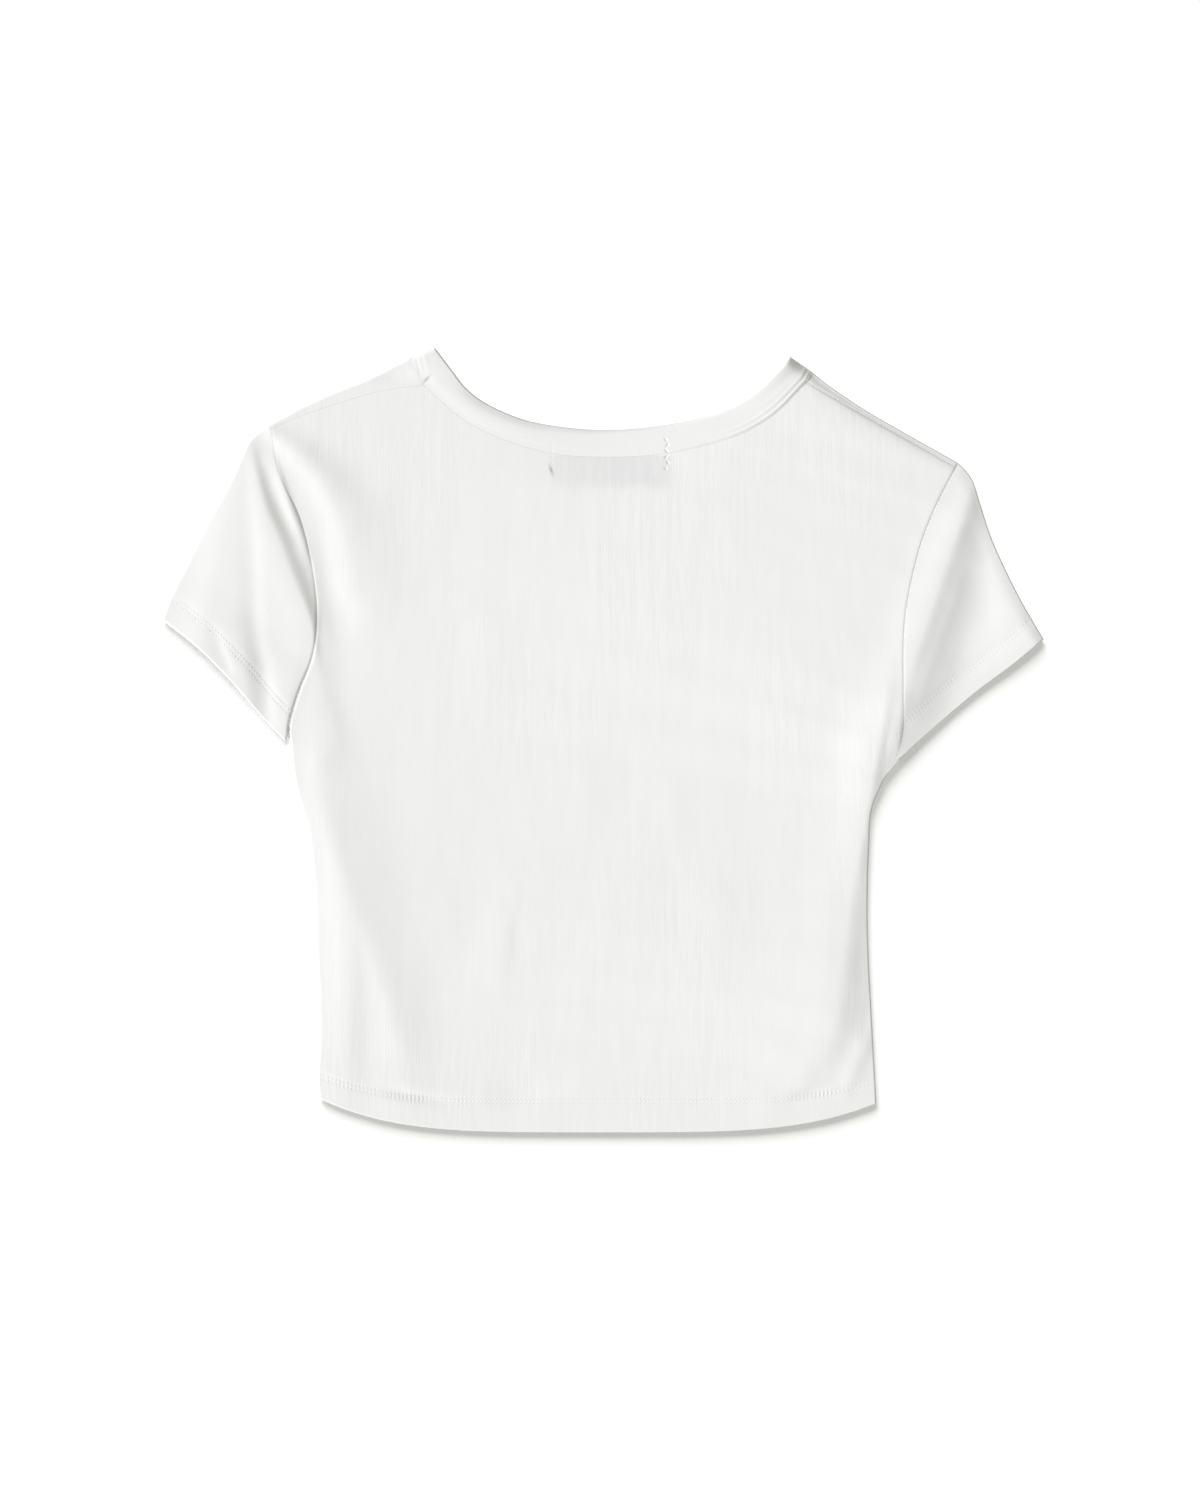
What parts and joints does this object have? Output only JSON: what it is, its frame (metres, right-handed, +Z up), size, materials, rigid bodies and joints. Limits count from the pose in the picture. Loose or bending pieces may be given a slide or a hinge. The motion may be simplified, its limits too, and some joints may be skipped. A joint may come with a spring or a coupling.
{
  "type": "cropped short-sleeved t-shirt",
  "caption": "Cropped short-sleeved T-shirt in white rib knit with a wide bound neck, laid flat on its front with the back uppermost.",
  "frame": {"origin": "on the surface that the shirt lies on, under the middle of the whole shirt's plan box", "axes": "+X across the shirt from its left sleeve as seen from above to its right one, +Y from the hem to the neck, +Z up from the surface"},
  "size_m": [0.4665, 0.4155, 0.006],
  "materials": {
    "body_knit": "soft white cotton rib knit, matt, very fine vertical wales",
    "sleeve_knit": "the same white rib knit, wales along the sleeve",
    "binding_knit": "the same white knit folded double as a smooth flat band"
  },
  "bodies": {
    "root": {"back_body": "body_knit", "front_body": "body_knit", "sleeve_left": "sleeve_knit", "sleeve_right": "sleeve_knit", "neck_binding": "binding_knit"}
  },
  "joints": []
}
